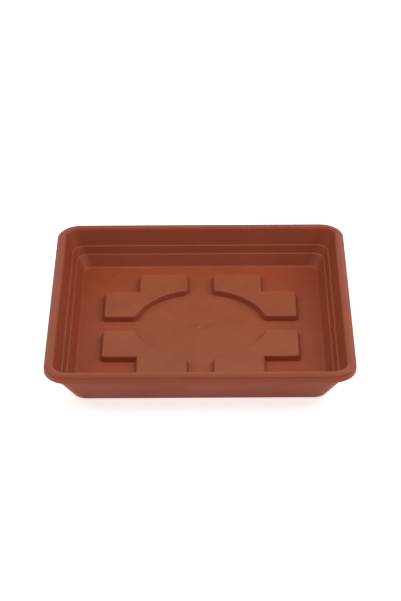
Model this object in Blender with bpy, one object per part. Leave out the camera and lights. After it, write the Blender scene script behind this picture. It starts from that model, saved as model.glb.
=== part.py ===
"""Square plant saucer, moulded in one shot of terracotta-coloured plastic.

The tray is a thin shell: a rolled lip, open below, runs down into walls with two small ledges,
and the floor carries four raised pads that are hollow underneath. It stands on a low foot.
Metres, +Z up. The origin is on the table, under the middle of the floor.
"""
import math

import bmesh
import bpy
from mathutils import Vector

MM = 0.001

# Overall size and material thickness
RIM_HALF = 150.0 * MM
HEIGHT = 42.5 * MM
WALL = 2.1 * MM
FLOOR_WALL = 2.3 * MM

# Rolled lip: an upturned U whose outer leg hangs free
LIP_RADIUS = 5.1 * MM
LIP_SKIRT = 4.0 * MM
LIP_EDGE_ROUND = 0.9 * MM

# Inside of the wall, from the floor up: half-widths of the bands and heights of the ledges
FLOOR_HALF = 122.7 * MM
FLOOR_HEIGHT = 4.2 * MM
LOWER_LEDGE_HALF = 128.9 * MM
LOWER_LEDGE_HEIGHT = 16.6 * MM
UPPER_LEDGE_HALF = 133.1 * MM
UPPER_LEDGE_HEIGHT = 24.4 * MM
LEDGE_WIDTH = 1.6 * MM
LEDGE_ROUND = 0.4 * MM
FLOOR_FILLET = 1.5 * MM

# Plan corners: the radius grows slowly up the wall, and fast across the lip
FLOOR_CORNER = 11.5 * MM
WALL_OPENING = 0.1
LIP_OPENING = 1.04
CORNER_STEPS = 8

# Outside of the wall: plain, with one slight bend, down to a foot under the edge of the floor
OUTER_BEND_HALF = 136.0 * MM
OUTER_BEND_HEIGHT = 24.4 * MM
FOOT_HALF = 123.1 * MM
FOOT_WIDTH = 4.0 * MM
FOOT_ROUND = 0.8 * MM

# Raised pads: one per quarter, an L round the middle well, measured at the top edge
PAD_HEIGHT = 6.0 * MM
PAD_REACH = 97.7 * MM
PAD_ARM_HALF = 62.7 * MM
CHANNEL_HALF = 13.6 * MM
WELL_RADIUS = 67.0 * MM
PAD_DRAFT = 0.364
PAD_CORNER = 3.4 * MM
PAD_NOTCH_CORNER = 1.2 * MM
PAD_EDGE_ROUND = 2.2 * MM
POCKET_EDGE_ROUND = 0.6 * MM
WELL_STEPS = 12

# Moulding gate: a small button left in the middle of the floor
GATE_RADIUS = 2.6 * MM
GATE_HEIGHT = 0.5 * MM

# How far a joined or cutting shape runs on past the face that it meets
OVERRUN = 1.0 * MM

ARC_STEPS = 2
LIP_STEPS = 4
SMOOTH_ANGLE = math.radians(35)

TERRACOTTA = (0.305, 0.082, 0.042, 1.0)
TERRACOTTA_ROUGHNESS = 0.45


def corner_radius(half):
    """Plan radius of the rounded square with this half-width."""
    in_lip = max(0, half - (RIM_HALF - 2 * LIP_RADIUS))
    return FLOOR_CORNER + WALL_OPENING * (half - FLOOR_HALF) + LIP_OPENING * in_lip


def round_corner(before, corner, after, radius, steps):
    """Arc that rounds one corner of a flat path."""
    if radius == 0:
        return [corner]
    to_before = (before - corner).normalized()
    to_after = (after - corner).normalized()
    half_angle = to_before.angle(to_after) / 2
    centre = corner + (to_before + to_after).normalized() * radius / math.sin(half_angle)
    reach = radius / math.tan(half_angle)
    start = corner + to_before * reach - centre
    end = corner + to_after * reach - centre
    return [centre + radius * start.slerp(end, step / steps) for step in range(steps + 1)]


def arc(centre, radius, start, end, steps):
    """Points along a circle, with angles in radians."""
    angles = [start + (end - start) * step / steps for step in range(steps + 1)]
    return [centre + radius * Vector((math.cos(angle), math.sin(angle))) for angle in angles]


def rounded_run(path, radii):
    """The inner corners of an open path, each rounded by its own radius."""
    points = []
    for before, corner, after, radius in zip(path, path[1:], path[2:], radii):
        points += round_corner(before, corner, after, radius, ARC_STEPS)
    return points


def tangent_angle(point, centre, radius):
    """Angle on the lip's circle at which a straight wall from this point runs into it."""
    to_centre = centre - point
    return math.atan2(to_centre.y, to_centre.x) + math.asin(radius / to_centre.length) + math.pi / 2


def lip_curve(centre, radius, wall_end):
    """Round part of the lip, from its outermost point over the top to the end of the wall."""
    top = math.pi / 2
    start = tangent_angle(wall_end, centre, radius)
    return arc(centre, radius, 0, top, LIP_STEPS) + arc(centre, radius, top, start, LIP_STEPS)[1:]


def wall_section():
    """Section through one wall as half-width and height, from under the floor round to its top."""
    lip_centre = Vector((RIM_HALF - LIP_RADIUS, HEIGHT - LIP_RADIUS))
    ledge_top = Vector((UPPER_LEDGE_HALF + LEDGE_WIDTH, UPPER_LEDGE_HEIGHT))
    lip_inside = lip_curve(lip_centre, LIP_RADIUS, ledge_top)
    inside = [
        Vector((0, FLOOR_HEIGHT)),
        Vector((FLOOR_HALF, FLOOR_HEIGHT)),
        Vector((LOWER_LEDGE_HALF, LOWER_LEDGE_HEIGHT)),
        Vector((LOWER_LEDGE_HALF + LEDGE_WIDTH, LOWER_LEDGE_HEIGHT)),
        Vector((UPPER_LEDGE_HALF, UPPER_LEDGE_HEIGHT)),
        ledge_top,
        lip_inside[-1],
    ]
    outer_bend = Vector((OUTER_BEND_HALF, OUTER_BEND_HEIGHT))
    under_floor = FLOOR_HEIGHT - FLOOR_WALL
    foot = [
        Vector((0, under_floor)),
        Vector((FOOT_HALF - FOOT_WIDTH, under_floor)),
        Vector((FOOT_HALF - FOOT_WIDTH, 0)),
        Vector((FOOT_HALF, 0)),
        outer_bend,
    ]
    skirt_bottom = lip_centre.y - LIP_SKIRT
    skirt = [
        Vector((RIM_HALF - WALL, lip_centre.y)),
        Vector((RIM_HALF - WALL, skirt_bottom)),
        Vector((RIM_HALF, skirt_bottom)),
        Vector((RIM_HALF, lip_centre.y)),
    ]

    section = rounded_run(foot, [FOOT_ROUND, FOOT_ROUND / 2, FOOT_ROUND])
    section.append(outer_bend)
    section += reversed(lip_curve(lip_centre, LIP_RADIUS - WALL, outer_bend))
    section += rounded_run(skirt, [LIP_EDGE_ROUND, LIP_EDGE_ROUND])
    section += lip_inside
    section += reversed(rounded_run(inside, [FLOOR_FILLET] + [LEDGE_ROUND] * 4))
    return section


def rounded_square(bm, half, height):
    """One level of the tray: a square with round corners, as a ring of points."""
    radius = corner_radius(half)
    centre = half - radius
    ring = []
    for quarter in range(4):
        turn = quarter * math.pi / 2
        diagonal = turn + math.pi / 4
        middle = centre * math.sqrt(2) * Vector((math.cos(diagonal), math.sin(diagonal)))
        for point in arc(middle, radius, turn, turn + math.pi / 2, CORNER_STEPS):
            ring.append(bm.verts.new((point.x, point.y, height)))
    return ring


def loft(bm, rings):
    """Skin through rings of equal count, with a flat cap at each end."""
    for lower, upper in zip(rings, rings[1:]):
        for index in range(len(lower)):
            after = (index + 1) % len(lower)
            bm.faces.new((lower[index], lower[after], upper[after], upper[index]))
    bm.faces.new(rings[0])
    bm.faces.new(rings[-1])


def pad_outline(inset):
    """Plan of the pad in the +X +Y quarter, drawn in by an inset."""
    near = CHANNEL_HALF + inset
    arm = PAD_ARM_HALF - inset
    far = PAD_REACH - inset
    well = WELL_RADIUS + inset
    start = math.acos(near / well)
    end = math.asin(near / well)
    well_edge = arc(Vector((0, 0)), well, start, end, WELL_STEPS)
    corners = [(well_edge[0], PAD_CORNER)]
    corners += [(point, 0) for point in well_edge[1:-1]]
    corners += [
        (well_edge[-1], PAD_CORNER),
        (Vector((far, near)), PAD_CORNER),
        (Vector((far, arm)), PAD_CORNER),
        (Vector((arm, arm)), PAD_NOTCH_CORNER),
        (Vector((arm, far)), PAD_CORNER),
        (Vector((near, far)), PAD_CORNER),
    ]
    outline = []
    for index, (corner, radius) in enumerate(corners):
        before = corners[index - 1][0]
        after = corners[(index + 1) % len(corners)][0]
        outline += round_corner(before, corner, after, radius, ARC_STEPS)
    return outline


def pad_blocks(bm, bottom, top, inset, edge_round):
    """Four drafted pads with a rounded top edge, one in each quarter."""
    pad_top = FLOOR_HEIGHT + PAD_HEIGHT
    lean = math.atan(PAD_DRAFT)
    edge_height = top - edge_round * (1 - math.sin(lean))
    centre_inset = inset - PAD_DRAFT * (pad_top - edge_height) + edge_round * math.cos(lean)
    levels = [(bottom, inset - PAD_DRAFT * (pad_top - bottom))]
    for step in range(ARC_STEPS + 1):
        turn = lean + (math.pi / 2 - lean) * step / ARC_STEPS
        height = top - edge_round * (1 - math.sin(turn))
        levels.append((height, centre_inset - edge_round * math.cos(turn)))
    for side_x, side_y in ((1, 1), (-1, 1), (-1, -1), (1, -1)):
        rings = []
        for height, level_inset in levels:
            outline = pad_outline(level_inset)
            rings.append([bm.verts.new((side_x * p.x, side_y * p.y, height)) for p in outline])
        loft(bm, rings)


def mesh_object(name, bm, collection):
    """Object from a finished mesh, with its faces turned outwards."""
    bmesh.ops.recalc_face_normals(bm, faces=bm.faces)
    mesh = bpy.data.meshes.new(name)
    bm.to_mesh(mesh)
    bm.free()
    mesh.shade_smooth()
    mesh.set_sharp_from_angle(angle=SMOOTH_ANGLE)
    thing = bpy.data.objects.new(name, mesh)
    collection.objects.link(thing)
    return thing


def helper_object(name, bm, collection):
    """A shape that only joins or cuts another one."""
    helper = mesh_object(name, bm, collection)
    helper.hide_render = True
    helper.display_type = "WIRE"
    return helper


def boolean(target, helper, operation):
    """Join a helper shape to the target, or cut it away."""
    modifier = target.modifiers.new(helper.name, "BOOLEAN")
    modifier.operation = operation
    modifier.solver = "EXACT"
    modifier.object = helper


def terracotta_plastic():
    """Matt moulded polypropylene in a fired-clay colour."""
    material = bpy.data.materials.new("terracotta_polypropylene")
    material.use_nodes = True
    shader = material.node_tree.nodes["Principled BSDF"]
    shader.inputs["Base Color"].default_value = TERRACOTTA
    shader.inputs["Roughness"].default_value = TERRACOTTA_ROUGHNESS
    shader.inputs["Metallic"].default_value = 0.0
    return material


def saucer_shell(collection):
    """Lip, walls, floor plate and foot in one skin."""
    bm = bmesh.new()
    rings = [rounded_square(bm, point.x, point.y) for point in wall_section()]
    loft(bm, rings)
    return mesh_object("saucer_tray", bm, collection)


def raised_pads(collection):
    """The four pads that lift the pot clear of the water."""
    bm = bmesh.new()
    pad_top = FLOOR_HEIGHT + PAD_HEIGHT
    pad_blocks(bm, FLOOR_HEIGHT - OVERRUN, pad_top, 0, PAD_EDGE_ROUND)
    return helper_object("raised_pads", bm, collection)


def pad_pockets(collection):
    """Hollows below the pads, which keep the plastic one thickness throughout."""
    bm = bmesh.new()
    pocket_top = FLOOR_HEIGHT + PAD_HEIGHT - FLOOR_WALL
    side_wall = WALL * math.hypot(1, PAD_DRAFT)
    pad_blocks(bm, -OVERRUN, pocket_top, side_wall, POCKET_EDGE_ROUND)
    return helper_object("pad_pockets", bm, collection)


def gate_button(collection):
    """The mark where the plastic entered the mould."""
    bm = bmesh.new()
    bmesh.ops.create_cone(
        bm,
        cap_ends=True,
        segments=16,
        radius1=GATE_RADIUS,
        radius2=GATE_RADIUS - GATE_HEIGHT / 2,
        depth=GATE_HEIGHT + OVERRUN,
    )
    middle = FLOOR_HEIGHT + (GATE_HEIGHT - OVERRUN) / 2
    bmesh.ops.translate(bm, verts=bm.verts, vec=(0, 0, middle))
    return helper_object("gate_button", bm, collection)


for old in list(bpy.data.objects):
    bpy.data.objects.remove(old, do_unlink=True)

parts = bpy.data.collections.new("plant_saucer")
helpers = bpy.data.collections.new("plant_saucer_helpers")
bpy.context.scene.collection.children.link(parts)
bpy.context.scene.collection.children.link(helpers)

saucer_tray = saucer_shell(parts)
saucer_tray.data.materials.append(terracotta_plastic())
boolean(saucer_tray, raised_pads(helpers), "UNION")
boolean(saucer_tray, gate_button(helpers), "UNION")
boolean(saucer_tray, pad_pockets(helpers), "DIFFERENCE")
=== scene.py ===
import math

import bmesh
import bpy
from mathutils import Matrix, Vector


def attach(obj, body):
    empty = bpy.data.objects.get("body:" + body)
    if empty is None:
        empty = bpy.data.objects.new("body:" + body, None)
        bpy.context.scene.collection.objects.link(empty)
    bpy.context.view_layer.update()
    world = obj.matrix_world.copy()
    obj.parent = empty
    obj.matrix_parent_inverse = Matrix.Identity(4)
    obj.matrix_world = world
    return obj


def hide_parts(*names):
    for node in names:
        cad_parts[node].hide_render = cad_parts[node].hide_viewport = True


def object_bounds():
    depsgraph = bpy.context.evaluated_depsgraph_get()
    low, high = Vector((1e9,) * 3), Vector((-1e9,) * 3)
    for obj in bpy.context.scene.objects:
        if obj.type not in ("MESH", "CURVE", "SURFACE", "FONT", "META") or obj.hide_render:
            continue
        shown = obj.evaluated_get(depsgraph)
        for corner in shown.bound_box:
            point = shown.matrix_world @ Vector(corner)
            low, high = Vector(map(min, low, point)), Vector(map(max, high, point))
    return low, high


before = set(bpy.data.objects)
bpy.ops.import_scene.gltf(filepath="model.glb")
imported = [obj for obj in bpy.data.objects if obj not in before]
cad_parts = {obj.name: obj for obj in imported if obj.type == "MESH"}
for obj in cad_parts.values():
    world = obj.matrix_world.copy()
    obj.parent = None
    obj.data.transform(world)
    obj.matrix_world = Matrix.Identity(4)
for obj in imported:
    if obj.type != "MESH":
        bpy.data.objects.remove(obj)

cad_low, cad_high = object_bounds()


# Wall and lip of the tray
# Injection-moulded polypropylene, about two millimetres thick. Inside, three sloping bands parted by two
# ledges climb to a rolled lip that hangs free. Outside, one plain slope runs down to a low foot.

MM = 0.001
BOX_MARGIN = 0.01 * MM
SAME_PLACE = 0.01 * MM
FLAT_MARGIN = 1.2 * MM
RIM_HALF = cad_high.x - BOX_MARGIN
TRAY_HEIGHT = cad_high.z - BOX_MARGIN
FOOT_UNDER = cad_low.z + BOX_MARGIN
WALL = 2.1 * MM
FLOOR_WALL = 2.3 * MM
FLOOR_HALF = 122.7 * MM
FLOOR_TOP = 4.2 * MM
FLOOR_UNDER = FLOOR_TOP - FLOOR_WALL
FLOOR_FILLET = 4.0 * MM
LOWER_LEDGE = Vector((128.9, 16.6)) * MM
UPPER_LEDGE = Vector((133.1, 24.4)) * MM
LEDGE_STEP = Vector((1.6, 0.0)) * MM
LEDGE_ROUND = 0.4 * MM
LIP_RADIUS = 5.1 * MM
LIP_SLOPE = math.radians(33)
LIP_SLOPE_WIDTH = 4.0 * MM
LIP_TOP_ROUND = 3.6 * MM
LIP_SIDE_ROUND = 2.6 * MM
LIP_SKIRT = 4.0 * MM
LIP_EDGE_ROUND = 0.9 * MM
LIP_STEPS = 12
OUTER_BEND = Vector((137.2, 24.4)) * MM
OUTER_BEND_ROUND = 30 * MM
FOOT_HALF = 123.1 * MM
FOOT_WIDTH = 4.0 * MM
FOOT_ROUND = 0.8 * MM
FOOT_INNER_ROUND = 0.4 * MM

# Corners in plan: the outer wall keeps one radius, and elsewhere it opens by a share of each step outwards.
FLOOR_CORNER = 11.5 * MM
OUTER_CORNER = 13.4 * MM
WALL_OPENING = 0.1
LIP_OPENING = 1.04
CORNER_STEPS = 24
lip_inner = RIM_HALF - 2 * LIP_RADIUS


def corner_radius(half):
    """Plan radius at this half-width, but not of the outer wall: it opens upwards, and faster in the lip."""
    in_lip = max(0, half - lip_inner)
    return FLOOR_CORNER + WALL_OPENING * (half - FLOOR_HALF) + LIP_OPENING * in_lip


def round_corner(before, corner, after, radius, steps):
    """Arc that takes the sharpness off one corner of a section."""
    to_before = (before - corner).normalized()
    to_after = (after - corner).normalized()
    half_angle = to_before.angle(to_after) / 2
    centre = corner + (to_before + to_after).normalized() * radius / math.sin(half_angle)
    reach = radius / math.tan(half_angle)
    start = corner + to_before * reach - centre
    end = corner + to_after * reach - centre
    return [centre + radius * start.slerp(end, step / steps) for step in range(steps + 1)]


def rounded_run(path, radii, steps):
    """The inner corners of an open section, each rounded by its own radius."""
    points = []
    for before, corner, after, radius in zip(path, path[1:], path[2:], radii):
        points += round_corner(before, corner, after, radius, steps)
    return points


def lip_curve(wall_end, radius, steps):
    """Round part of the lip, from the end of the wall over the top to its outermost point."""
    to_lip = lip_centre - wall_end
    start = math.atan2(to_lip.y, to_lip.x) + math.asin(radius / to_lip.length) + math.pi / 2
    top = math.pi / 2
    angles = [start + (top - start) * step / steps for step in range(steps)]
    angles += [top * (1 - step / steps) for step in range(steps + 1)]
    return [lip_centre + radius * Vector((math.cos(angle), math.sin(angle))) for angle in angles]


# Section through one wall, as half-width and height: up the inside, over the lip and down to the foot.
lip_centre = Vector((RIM_HALF - LIP_RADIUS, TRAY_HEIGHT - LIP_RADIUS))
lip_round = lip_curve(UPPER_LEDGE + LEDGE_STEP, LIP_RADIUS, LIP_STEPS)
lip_groove = lip_curve(OUTER_BEND, LIP_RADIUS - WALL, steps=8)
inside = [
    Vector((0, FLOOR_TOP)),
    Vector((FLOOR_HALF, FLOOR_TOP)),
    LOWER_LEDGE,
    LOWER_LEDGE + LEDGE_STEP,
    UPPER_LEDGE,
    UPPER_LEDGE + LEDGE_STEP,
    lip_round[0],
]
lip_outside = [
    Vector((lip_centre.x, TRAY_HEIGHT)),
    Vector((RIM_HALF - LIP_SLOPE_WIDTH, TRAY_HEIGHT)),
    Vector((RIM_HALF, TRAY_HEIGHT - LIP_SLOPE_WIDTH * math.tan(LIP_SLOPE))),
    Vector((RIM_HALF, lip_centre.y - LIP_SKIRT)),
    Vector((RIM_HALF - WALL, lip_centre.y - LIP_SKIRT)),
    Vector((RIM_HALF - WALL, lip_centre.y)),
]
lip_rounds = [LIP_TOP_ROUND, LIP_SIDE_ROUND, LIP_EDGE_ROUND, LIP_EDGE_ROUND]
outside = [
    lip_groove[0],
    OUTER_BEND,
    Vector((FOOT_HALF, FOOT_UNDER)),
    Vector((FOOT_HALF - FOOT_WIDTH, FOOT_UNDER)),
    Vector((FOOT_HALF - FOOT_WIDTH, FLOOR_UNDER)),
    Vector((0, FLOOR_UNDER)),
]
inner_run = rounded_run(inside, [FLOOR_FILLET], steps=8)
inner_run += rounded_run(inside[1:], [LEDGE_ROUND] * 4, steps=4)
inner_run += lip_round[:LIP_STEPS]
inner_run += rounded_run(lip_outside, lip_rounds, steps=6)
inner_run += reversed(lip_groove)
inner_run.insert(0, inner_run[0] - Vector((FLAT_MARGIN, 0)))
outer_run = rounded_run(outside[:4], [OUTER_BEND_ROUND, FOOT_ROUND], steps=5)
foot_run = rounded_run(outside[2:], [FOOT_INNER_ROUND, FOOT_ROUND], steps=5)
foot_run.append(foot_run[-1] - Vector((FLAT_MARGIN, 0)))
levels = [(point, corner_radius(point.x)) for point in inner_run]
levels += [(point, OUTER_CORNER) for point in outer_run]
levels += [(point, corner_radius(point.x)) for point in foot_run]


def open_for_editing(piece):
    """Makes this the only selected piece and opens its mesh with nothing selected."""
    bpy.ops.object.select_all(action="DESELECT")
    piece.select_set(True)
    bpy.context.view_layer.objects.active = piece
    bpy.ops.object.mode_set(mode="EDIT")
    bpy.ops.mesh.select_mode(type="VERT")
    bpy.ops.mesh.select_all(action="DESELECT")


def select_where(piece, test):
    """Selects the points of the open mesh whose place passes the test, with the edges between them."""
    bpy.ops.mesh.select_all(action="DESELECT")
    mesh = bmesh.from_edit_mesh(piece.data)
    for point in mesh.verts:
        if test(point.co):
            point.select_set(True)
    mesh.select_flush(True)
    bmesh.update_edit_mesh(piece.data)


def apply_modifier(piece, kind, **settings):
    """Adds a modifier with these settings and applies it."""
    bpy.ops.object.select_all(action="DESELECT")
    piece.select_set(True)
    bpy.context.view_layer.objects.active = piece
    modifier = piece.modifiers.new(kind.lower(), kind)
    for name, value in settings.items():
        setattr(modifier, name, value)
    bpy.ops.object.modifier_apply(modifier=modifier.name)


# A quarter circle, the floor's corner, is drawn out through every level of the section.
bpy.ops.object.select_all(action="DESELECT")
start, radius = levels[0]
centre = start.x - radius
bpy.ops.mesh.primitive_circle_add(
    vertices=4 * CORNER_STEPS, radius=radius, location=(centre, centre, start.y)
)
tray = bpy.context.object
tray.name = "tray"
bpy.ops.object.transform_apply(location=True)
open_for_editing(tray)
quarter = centre - SAME_PLACE
select_where(tray, lambda place: place.x < quarter or place.y < quarter)
bpy.ops.mesh.delete(type="VERT")
bpy.ops.mesh.select_all(action="SELECT")
for (level, radius), (next_level, next_radius) in zip(levels, levels[1:]):
    growth = next_radius / radius
    shift = next_level.x - next_radius - (level.x - radius) * growth
    bpy.ops.mesh.extrude_edges_move()
    bpy.ops.transform.resize(value=(growth, growth, 1), center_override=(0, 0, 0))
    bpy.ops.transform.translate(value=(shift, shift, next_level.y - level.y))

# The open sides of the corner are drawn out flat to the middle of each wall, and mirrored.
for across, flatten in ((1, (1, 0, 1)), (0, (0, 1, 1))):
    ends = [Vector((level.x, level.x, level.y)) for level, radius in levels]
    for end, (level, radius) in zip(ends, levels):
        end[across] -= radius
    select_where(tray, lambda place: any((place - end).length < SAME_PLACE for end in ends))
    bpy.ops.mesh.extrude_edges_move()
    bpy.ops.transform.resize(value=flatten, center_override=(0, 0, 0))
bpy.ops.object.mode_set(mode="OBJECT")
apply_modifier(tray, "MIRROR", use_axis=(True, True, False), merge_threshold=SAME_PLACE)


# Raised pads and the pockets below them
# Part of the same moulding: the floor is pushed up in four L-shaped pads round a middle well, with sloping
# sides, soft top edges and a small fillet at the foot. From below each pad is a pocket of the same shape.

PAD_TOP = FLOOR_TOP + 6.0 * MM
PAD_REACH = 97.7 * MM
PAD_ARM = 62.7 * MM
CHANNEL_HALF = 13.6 * MM
WELL_RADIUS = 67.0 * MM
WELL_STEPS = 240
PAD_SLOPE = math.radians(20)
PAD_CORNER = 3.4 * MM
PAD_CORNER_STEPS = 8
PAD_EDGE = 2.2 * MM
PAD_FILLET = 0.7 * MM
POCKET_EDGE = 0.5 * MM
POCKET_FILLET = 0.6 * MM
TOP_MARGIN = 0.6 * MM
steepest = math.pi / 2 - PAD_SLOPE


def side_profile(height, fillet, shoulder, steps):
    """Places along a sloping side, inwards and up, from its round foot to its round shoulder."""
    points = [Vector((0, 0)), Vector((FLAT_MARGIN, 0))]
    for step in range(1, steps + 1):
        turn = steepest * step / steps
        points.append(Vector((FLAT_MARGIN + fillet * math.sin(turn), fillet * (1 - math.cos(turn)))))
    rise = height - points[-1].y - shoulder * (1 - math.cos(steepest))
    points.append(points[-1] + Vector((rise * math.tan(PAD_SLOPE), rise)))
    centre = points[-1] + shoulder * Vector((math.sin(steepest), -math.cos(steepest)))
    for step in range(1, steps + 1):
        turn = steepest * (1 - step / steps)
        points.append(centre + shoulder * Vector((-math.sin(turn), math.cos(turn))))
    points.append(points[-1] + Vector((TOP_MARGIN, 0)))
    return points


def moulded_pads(name, base, inset, reach, profile):
    """Four L-shaped forms on one base, drawn up a side profile that starts a reach outside their line."""
    near = CHANNEL_HALF + inset - reach
    arm = PAD_ARM - inset + reach
    far = PAD_REACH - inset + reach
    well = WELL_RADIUS + inset - reach
    well_end = math.sqrt(well ** 2 - near ** 2)
    corner = PAD_CORNER + reach
    tight = 0.1 * MM

    bpy.ops.object.select_all(action="DESELECT")
    bpy.ops.mesh.primitive_circle_add(vertices=WELL_STEPS, radius=well, location=(0, 0, base))
    pads = bpy.context.object
    pads.name = name
    bpy.ops.object.transform_apply(location=True)
    open_for_editing(pads)
    for side in ((1, 0, 0), (0, 1, 0)):
        bpy.ops.mesh.select_all(action="SELECT")
        bpy.ops.mesh.bisect(plane_co=(near, near, base), plane_no=side, clear_inner=True)

    # The short edges at both ends of the well's arc are merged, so that the corners there can be rounded.
    ends = (Vector((well_end, near, base)), Vector((near, well_end, base)))
    cleared = 1.2 * corner
    select_where(pads, lambda place: any(tight < (place - end).length < cleared for end in ends))
    bpy.ops.mesh.dissolve_verts()

    # From one end of the arc the outline runs out and round the L, back to the other end.
    select_where(pads, lambda place: (place - ends[0]).length < tight)
    for move in (
        (far - well_end, 0, 0),
        (0, arm - near, 0),
        (arm - far, 0, 0),
        (0, far - arm, 0),
        (near - arm, 0, 0),
    ):
        bpy.ops.mesh.extrude_vertices_move(TRANSFORM_OT_translate={"value": move})
    bpy.ops.mesh.select_all(action="SELECT")
    bpy.ops.mesh.edge_face_add()
    outer_corners = [Vector((x, y, base)) for x, y in ((far, near), (far, arm), (arm, far), (near, far))]
    corners = [*ends, *outer_corners]
    select_where(pads, lambda place: any((place - spot).length < tight for spot in corners))
    bpy.ops.mesh.bevel(offset=corner, segments=PAD_CORNER_STEPS, affect="VERTICES")

    bpy.ops.mesh.select_all(action="SELECT")
    if bmesh.from_edit_mesh(pads.data).faces[:][0].normal.z < 0:
        bpy.ops.mesh.flip_normals()
    for place, next_place in zip(profile, profile[1:]):
        bpy.ops.mesh.inset(thickness=next_place.x - place.x, depth=next_place.y - place.y)
    bpy.ops.object.mode_set(mode="OBJECT")
    apply_modifier(pads, "MIRROR", use_axis=(True, True, False), use_mirror_merge=False)
    return pads


pad_height = PAD_TOP - FLOOR_TOP
pad_reach = FLAT_MARGIN + PAD_FILLET * math.tan(steepest / 2) + pad_height * math.tan(PAD_SLOPE)
pad_profile = side_profile(pad_height, PAD_FILLET, PAD_EDGE, steps=6)
pads = moulded_pads("pads", FLOOR_TOP, 0, pad_reach, pad_profile)

pocket_height = PAD_TOP - FLOOR_WALL - FLOOR_UNDER
pocket_depth = PAD_TOP - FLOOR_UNDER
pocket_reach = FLAT_MARGIN + POCKET_EDGE * math.tan(steepest / 2) + pocket_depth * math.tan(PAD_SLOPE)
pocket_profile = side_profile(pocket_height, POCKET_EDGE, POCKET_FILLET, steps=4)
pockets = moulded_pads("pockets", FLOOR_UNDER, WALL / math.cos(PAD_SLOPE), pocket_reach, pocket_profile)


# Gate mark and floor plate
# The plastic entered the mould at the middle of the floor and left a small dimpled button there. The floor
# is the plain plate that ties the wall, the pads and the button into one skin, above and below.

GATE_RADIUS = 2.6 * MM
GATE_HEIGHT = 0.5 * MM
GATE_STEPS = 48
CREASE = math.radians(40)

# Steps inwards and up, from the floor over the round edge of the button into its dimple.
GATE_PROFILE = (
    (FLAT_MARGIN, 0),
    (0.1 * MM, 0.25 * GATE_HEIGHT),
    (0.1 * MM, 0.5 * GATE_HEIGHT),
    (0.25 * MM, 0.25 * GATE_HEIGHT),
    (0.9 * MM, 0),
    (0.4 * MM, -0.4 * GATE_HEIGHT),
)

bpy.ops.object.select_all(action="DESELECT")
bpy.ops.mesh.primitive_circle_add(
    vertices=GATE_STEPS, radius=GATE_RADIUS + FLAT_MARGIN, fill_type="NGON", location=(0, 0, FLOOR_TOP)
)
gate = bpy.context.object
gate.name = "gate"
bpy.ops.object.transform_apply(location=True)
open_for_editing(gate)
bpy.ops.mesh.select_all(action="SELECT")
for inward, up in GATE_PROFILE:
    bpy.ops.mesh.inset(thickness=inward, depth=up)
bpy.ops.object.mode_set(mode="OBJECT")

# The forms become one mesh, and the plate is filled in between their edges on both sides of the floor.
bpy.ops.object.select_all(action="DESELECT")
for piece in (pads, pockets, gate, tray):
    piece.select_set(True)
bpy.context.view_layer.objects.active = tray
bpy.ops.object.join()
tray.name = "moulded_tray"
tray.data.name = "moulded_tray"
open_for_editing(tray)
bpy.ops.mesh.select_mode(type="EDGE")
for level in (FLOOR_TOP, FLOOR_UNDER):
    bpy.ops.mesh.select_all(action="DESELECT")
    mesh = bmesh.from_edit_mesh(tray.data)
    for edge in mesh.edges:
        if edge.is_boundary and abs(edge.verts[0].co.z - level) < SAME_PLACE:
            edge.select_set(True)
    bmesh.update_edit_mesh(tray.data)
    bpy.ops.mesh.fill(use_beauty=True)
bpy.ops.mesh.select_all(action="SELECT")
bpy.ops.mesh.normals_make_consistent(inside=False)
bpy.ops.object.mode_set(mode="OBJECT")
bpy.ops.object.shade_smooth_by_angle(angle=CREASE)
apply_modifier(tray, "WEIGHTED_NORMAL", weight=50, keep_sharp=True)

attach(tray, "root")
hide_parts("saucer_tray")


# Terracotta polypropylene
# Opaque plastic coloured through with fired-clay pigment and moulded against finely eroded steel, so it is
# satin. Faces that look up carry specks of dust and a thin pale painted sheen, and the cut gate is scuffed.

CLAY_DEEP = "#8D3B1D"
CLAY_LIGHT = "#964020"
# Colour of the dust specks, the gate scuff and the painted sheen.
DUST_AND_SHEEN = "#B9A276"
PIGMENT_CLOUD = 38 * MM
GLOSS_PATCH = 16 * MM
CLOUD_RANGE = (0.3, 0.7)
SATIN_ROUGHNESS = (0.48, 0.56)
SATIN_SPECULAR = 0.36
PLASTIC_IOR = 1.49
MOULD_GRAIN = 1.1 * MM
MOULD_GRAIN_DEPTH = 0.05 * MM
MOULD_GRAIN_STRENGTH = 0.15
FACING_UP_RANGE = (0.75, 0.97)
# Painted sheen: a thin pale film that lightens up-facing faces, most in the middle of the floor and on pad
# tops, ledges and lip.
SHEEN_AMOUNT = (0.05, 0.08)
SHEEN_FULL = 50 * MM
SHEEN_END = 150 * MM
HIGH_SHEEN_START = PAD_TOP - 1.0 * MM
HIGH_SHEEN_FULL = PAD_TOP - 0.2 * MM
SPECK_SPACING = 20 * MM
SPECK_EDGE = 0.055
SPECK_CORE = 0.02
SPECK_AMOUNT = 0.35
SCUFF_FULL = 1.0 * MM
SCUFF_END = 3.2 * MM
SCUFF_GRAIN = 2.2 * MM
SCUFF_RANGE = (0.45, 0.6)
SCUFF_AMOUNT = 0.4


def linear(hex_colour):
    """An sRGB hex colour as the linear values that shaders take."""
    channels = [int(hex_colour[i:i + 2], 16) / 255 for i in (1, 3, 5)]
    values = [c / 12.92 if c <= 0.04045 else ((c + 0.055) / 1.055) ** 2.4 for c in channels]
    return (*values, 1.0)


def add_node(material, kind, settings=(), links=()):
    """Adds a node, sets its options and socket values by name, and links sources to its sockets."""
    made = material.node_tree.nodes.new(kind)
    for name, value in dict(settings).items():
        if hasattr(made, str(name)):
            setattr(made, name, value)
        else:
            made.inputs[name].default_value = value
    for socket, source in dict(links).items():
        material.node_tree.links.new(source, made.inputs[socket])
    return made


def noise(size, detail):
    """A cloudy pattern with patches of about this size."""
    settings = {"Scale": 1 / size, "Detail": detail}
    return add_node(plastic, "ShaderNodeTexNoise", settings, {"Vector": place}).outputs["Fac"]


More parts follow.
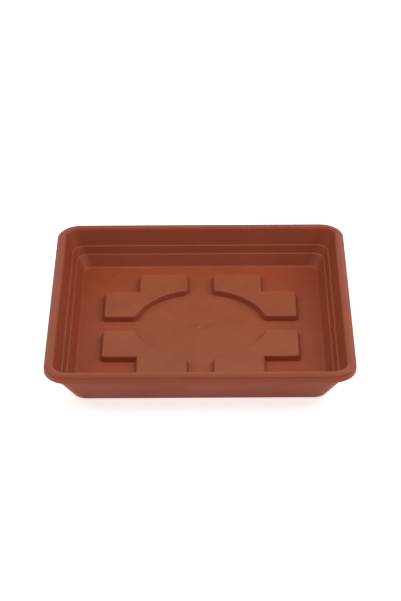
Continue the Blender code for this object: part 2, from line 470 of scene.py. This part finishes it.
def ramp(source, start, end, low, high):
    """The source, run from low to high as it goes from start to end."""
    settings = {"From Min": start, "From Max": end, "To Min": low, "To Max": high}
    return add_node(plastic, "ShaderNodeMapRange", settings, {"Value": source}).outputs["Result"]


def combined(operation, first, second):
    """Two amounts put together by one step of arithmetic."""
    settings = {"operation": operation}
    return add_node(plastic, "ShaderNodeMath", settings, {0: first, 1: second}).outputs["Value"]


def height_of(vector):
    """The upward part of a place or a direction."""
    return add_node(plastic, "ShaderNodeSeparateXYZ", links={0: vector}).outputs["Z"]


plastic = bpy.data.materials.new("terracotta moulded polypropylene")
plastic.use_nodes = True
plastic.node_tree.nodes.clear()
coordinates = add_node(plastic, "ShaderNodeTexCoord").outputs
place = coordinates["Object"]
in_plan = add_node(
    plastic, "ShaderNodeVectorMath", {"operation": "MULTIPLY", 1: (1, 1, 0)}, {0: place}
).outputs["Vector"]
from_middle = add_node(
    plastic, "ShaderNodeVectorMath", {"operation": "LENGTH"}, {0: in_plan}
).outputs["Value"]
facing_up = ramp(height_of(coordinates["Normal"]), *FACING_UP_RANGE, 0, 1)

pigment = add_node(
    plastic,
    "ShaderNodeMix",
    {"data_type": "RGBA", 6: linear(CLAY_DEEP), 7: linear(CLAY_LIGHT)},
    {0: ramp(noise(PIGMENT_CLOUD, detail=4), *CLOUD_RANGE, 0, 1)},
).outputs[2]

# The painted sheen thins out towards the edge of the floor. Higher up it lies on pad tops, ledges and lip.
where_sheen_painted = combined(
    "MAXIMUM",
    ramp(from_middle, SHEEN_FULL, SHEEN_END, 1, 0),
    ramp(height_of(place), HIGH_SHEEN_START, HIGH_SHEEN_FULL, 0, 1),
)
painted_sheen = combined("MULTIPLY", where_sheen_painted, ramp(noise(GLOSS_PATCH, detail=4), *CLOUD_RANGE, *SHEEN_AMOUNT))
speck_distance = add_node(
    plastic, "ShaderNodeTexVoronoi", {"Scale": 1 / SPECK_SPACING}, {"Vector": place}
).outputs["Distance"]
specks = ramp(speck_distance, SPECK_EDGE, SPECK_CORE, 0, SPECK_AMOUNT)
scuff = combined(
    "MULTIPLY",
    ramp(from_middle, SCUFF_FULL, SCUFF_END, 1, 0),
    ramp(noise(SCUFF_GRAIN, detail=2), *SCUFF_RANGE, 0, SCUFF_AMOUNT),
)
# The dust specks and the gate scuff are real marks; the pale film joined with them is painted sheen. All
# show only on faces that look up.
dust_and_sheen = combined("MAXIMUM", combined("MAXIMUM", painted_sheen, specks), scuff)
colour = add_node(
    plastic,
    "ShaderNodeMix",
    {"data_type": "RGBA", 7: linear(DUST_AND_SHEEN)},
    {0: combined("MULTIPLY", dust_and_sheen, facing_up), 6: pigment},
).outputs[2]
gloss = ramp(noise(GLOSS_PATCH, detail=3), *CLOUD_RANGE, *SATIN_ROUGHNESS)
grain = add_node(
    plastic,
    "ShaderNodeBump",
    {"Strength": MOULD_GRAIN_STRENGTH, "Distance": MOULD_GRAIN_DEPTH},
    {"Height": noise(MOULD_GRAIN, detail=2)},
).outputs["Normal"]
plastic_shader = add_node(
    plastic,
    "ShaderNodeBsdfPrincipled",
    {"IOR": PLASTIC_IOR, "Specular IOR Level": SATIN_SPECULAR},
    {"Base Color": colour, "Roughness": gloss, "Normal": grain},
)
add_node(plastic, "ShaderNodeOutputMaterial", links={"Surface": plastic_shader.outputs["BSDF"]})
tray.data.materials.clear()
tray.data.materials.append(plastic)


# Light table
# A wide sheet of matt white acrylic that the saucer stands on. The sheet glows in place of lamps below it
# and lights the outside of the wall and lip from underneath. Rays that show the sheet are lifted to plain
# white.

TABLE_HALF = 4.0
TABLE_WHITE = "#E6E6E4"
UNDER_LIGHT = 0.34
WHITE_LIFT = 0.4

bpy.ops.object.select_all(action="DESELECT")
bpy.ops.mesh.primitive_plane_add(size=2 * TABLE_HALF, location=(0, 0, 0))
table = bpy.context.object
table.name = "light_table"
acrylic = bpy.data.materials.new("white acrylic sheet")
acrylic.use_nodes = True
acrylic.node_tree.nodes.clear()
rays = add_node(acrylic, "ShaderNodeLightPath").outputs
seen = rays["Is Camera Ray"]
for kind in ("Is Glossy Ray", "Is Transmission Ray"):
    links = {0: seen, 1: rays[kind]}
    seen = add_node(acrylic, "ShaderNodeMath", {"operation": "MAXIMUM"}, links).outputs["Value"]
settings = {"operation": "MULTIPLY_ADD", 1: WHITE_LIFT, 2: UNDER_LIGHT}
glow_strength = add_node(acrylic, "ShaderNodeMath", settings, {0: seen}).outputs["Value"]
glow = add_node(acrylic, "ShaderNodeEmission", links={"Strength": glow_strength})
sheet = add_node(acrylic, "ShaderNodeBsdfDiffuse", {"Color": linear(TABLE_WHITE)})
lit_sheet = add_node(
    acrylic, "ShaderNodeAddShader", links={0: sheet.outputs["BSDF"], 1: glow.outputs["Emission"]}
)
add_node(acrylic, "ShaderNodeOutputMaterial", links={"Surface": lit_sheet.outputs["Shader"]})
table.data.materials.append(acrylic)


# Light
# Soft boxes in a dim room: a large one level overhead, one on each side for the soft shadows of the walls
# and the pads, a low strip behind for the sheen on the lip, and one in front that fills the back wall.

ROOM_LEVEL = 0.22

# Place and size in metres, and power in watts. Each box faces the middle of the tray.
SOFT_BOXES = {
    "top box": ((0.0, 0.0, 1.3), (1.5, 1.5), 8.1),
    "left box": ((-0.98, 0.2, 0.92), (0.8, 0.8), 5.2),
    "right box": ((0.98, 0.15, 0.92), (0.8, 0.8), 8.0),
    "back strip": ((0.0, 1.7, 0.27), (2.6, 0.4), 4.8),
    "front strip": ((0.0, -1.9, 0.33), (2.6, 0.2), 4.4),
}

room = bpy.data.worlds.new("dim room")
room.use_nodes = True
room.node_tree.nodes["Background"].inputs["Color"].default_value = (1, 1, 1, 1)
room.node_tree.nodes["Background"].inputs["Strength"].default_value = ROOM_LEVEL
bpy.context.scene.world = room
for name, (spot, size, watts) in SOFT_BOXES.items():
    lamp = bpy.data.lights.new(name, "AREA")
    lamp.shape = "RECTANGLE"
    lamp.size, lamp.size_y = size
    lamp.energy = watts
    soft_box = bpy.data.objects.new(name, lamp)
    soft_box.location = spot
    soft_box.rotation_euler = Vector(spot).to_track_quat("Z", "Y").to_euler()
    bpy.context.scene.collection.objects.link(soft_box)


# Camera
# Almost square on to the front wall, looking down into the tray through a long lens.

IMAGE_LONG_SIDE = 601
FOCUS_PIXELS = 2341.0
SENSOR_WIDTH = 36.0
FAR_CLIP = 50
LOOK_DOWN = math.radians(30.8)
TURN = math.radians(-0.317)
ROLL = math.radians(0.4825)
AIM_HEIGHT = 10 * MM
SIGHT_DISTANCE = 2.3643
SIGHT_RIGHT = -0.06 * MM
SIGHT_UP = -22.65 * MM

camera_data = bpy.data.cameras.new("camera")
camera_data.sensor_width = SENSOR_WIDTH
camera_data.lens = SENSOR_WIDTH * FOCUS_PIXELS / IMAGE_LONG_SIDE
camera_data.clip_end = FAR_CLIP
camera = bpy.data.objects.new("camera", camera_data)
right = Vector((math.cos(TURN), -math.sin(TURN), 0))
level_ahead = Vector((math.sin(TURN), math.cos(TURN), 0))
ahead = math.cos(LOOK_DOWN) * level_ahead - math.sin(LOOK_DOWN) * Vector((0, 0, 1))
up = right.cross(ahead)
rolled_right = math.cos(ROLL) * right - math.sin(ROLL) * up
rolled_up = math.sin(ROLL) * right + math.cos(ROLL) * up
aim = Vector((0, 0, AIM_HEIGHT))
camera.location = aim - SIGHT_RIGHT * rolled_right - SIGHT_UP * rolled_up - SIGHT_DISTANCE * ahead
camera.rotation_euler = Matrix((rolled_right, rolled_up, -ahead)).transposed().to_euler()
bpy.context.scene.collection.objects.link(camera)
bpy.context.scene.camera = camera
bpy.context.scene.view_settings.view_transform = "Standard"
